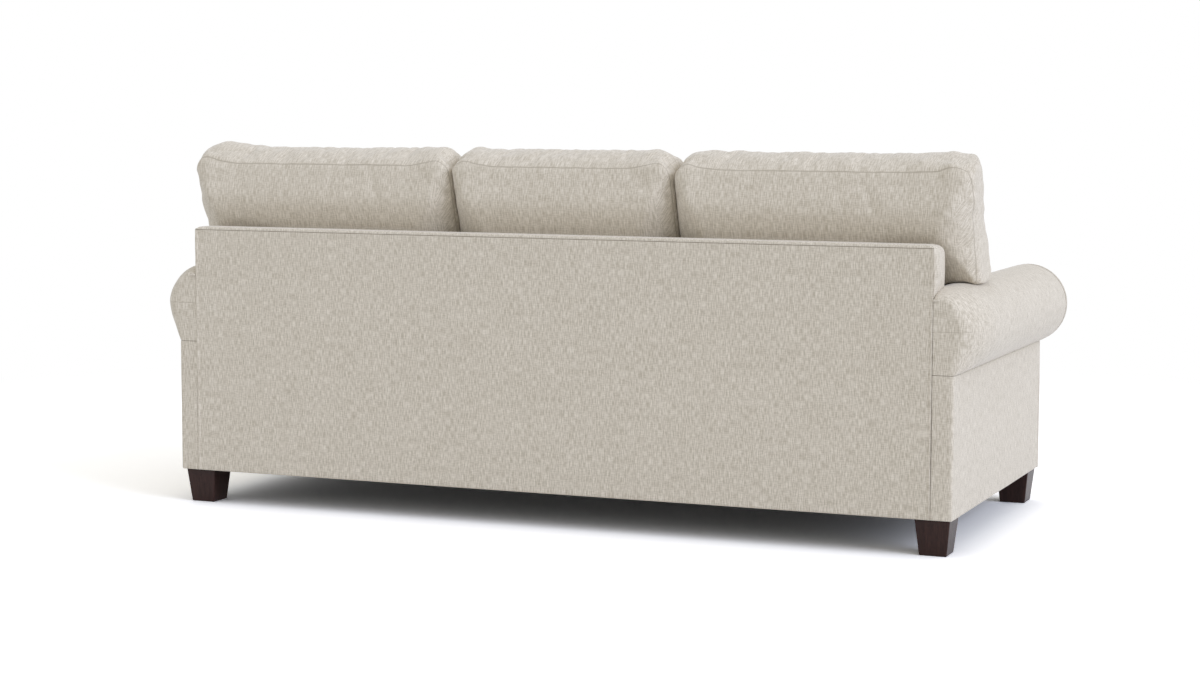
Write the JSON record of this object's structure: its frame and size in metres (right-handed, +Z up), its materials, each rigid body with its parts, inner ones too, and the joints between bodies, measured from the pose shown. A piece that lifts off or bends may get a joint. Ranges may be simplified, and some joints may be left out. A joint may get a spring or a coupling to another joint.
{
  "type": "rolled arm sofa",
  "caption": "Rolled arm sofa with a flat outside back, loose boxed seat and back cushions, eared end cushions over the arms and short tapered legs.",
  "frame": {"origin": "on the floor, below the middle of the sofa", "axes": "+X to the right as seen from the front, -Y towards the front of the seat, +Z up"},
  "size_m": [2.2508, 0.943, 0.9482],
  "materials": {
    "upholstery": "matte",
    "leg_wood": "satin",
    "frame_wood": "matte",
    "steel": "satin",
    "deck_cloth": "matte",
    "dust_cloth": "matte"
  },
  "bodies": {
    "frame": {"left_arm_cover": "upholstery", "right_arm_cover": "upholstery", "left_outside_arm": "upholstery", "right_outside_arm": "upholstery", "left_arm_front_facing": "upholstery", "right_arm_front_facing": "upholstery", "left_arm_rear_facing": "upholstery", "right_arm_rear_facing": "upholstery", "outside_back": "upholstery", "inside_back": "upholstery", "left_back_end": "upholstery", "right_back_end": "upholstery", "front_border": "upholstery", "left_front_leg": "leg_wood", "left_rear_leg": "leg_wood", "right_front_leg": "leg_wood", "right_rear_leg": "leg_wood", "front_rail": "frame_wood", "rear_rail": "frame_wood", "left_side_rail": "frame_wood", "right_side_rail": "frame_wood", "left_seat_stretcher": "frame_wood", "right_seat_stretcher": "frame_wood", "left_arm_front_board": "frame_wood", "right_arm_front_board": "frame_wood", "left_arm_rear_board": "frame_wood", "right_arm_rear_board": "frame_wood", "left_arm_top_board": "frame_wood", "right_arm_top_board": "frame_wood", "back_top_rail": "frame_wood", "back_tuck_rail": "frame_wood", "left_back_end_post": "frame_wood", "right_back_end_post": "frame_wood", "left_back_middle_post": "frame_wood", "right_back_middle_post": "frame_wood", "left_front_corner_block": "frame_wood", "left_rear_corner_block": "frame_wood", "right_front_corner_block": "frame_wood", "right_rear_corner_block": "frame_wood", "seat_spring_1": "steel", "seat_spring_2": "steel", "seat_spring_3": "steel", "seat_spring_4": "steel", "seat_spring_5": "steel", "seat_spring_6": "steel", "seat_spring_7": "steel", "seat_spring_8": "steel", "seat_spring_9": "steel", "left_front_leg_bolt": "steel", "left_rear_leg_bolt": "steel", "right_front_leg_bolt": "steel", "right_rear_leg_bolt": "steel", "seat_deck": "deck_cloth", "dust_cover": "dust_cloth"},
    "left_seat_cushion": {"left_seat_cushion": "upholstery"},
    "centre_seat_cushion": {"centre_seat_cushion": "upholstery"},
    "right_seat_cushion": {"right_seat_cushion": "upholstery"},
    "left_back_cushion": {"left_back_cushion": "upholstery"},
    "centre_back_cushion": {"centre_back_cushion": "upholstery"},
    "right_back_cushion": {"right_back_cushion": "upholstery"}
  },
  "joints": [
    {"name": "left_seat_cushion_pull", "type": "slide", "parent": "frame", "child": "left_seat_cushion", "axis": [0, -1, 0], "range_m": [0, 0.72]},
    {"name": "centre_seat_cushion_pull", "type": "slide", "parent": "frame", "child": "centre_seat_cushion", "axis": [0, -1, 0], "range_m": [0, 0.72]},
    {"name": "right_seat_cushion_pull", "type": "slide", "parent": "frame", "child": "right_seat_cushion", "axis": [0, -1, 0], "range_m": [0, 0.72]},
    {"name": "left_back_cushion_lift", "type": "slide", "parent": "frame", "child": "left_back_cushion", "axis": [0, 0, 1], "range_m": [0, 0.48]},
    {"name": "centre_back_cushion_lift", "type": "slide", "parent": "frame", "child": "centre_back_cushion", "axis": [0, 0, 1], "range_m": [0, 0.48]},
    {"name": "right_back_cushion_lift", "type": "slide", "parent": "frame", "child": "right_back_cushion", "axis": [0, 0, 1], "range_m": [0, 0.48]}
  ]
}
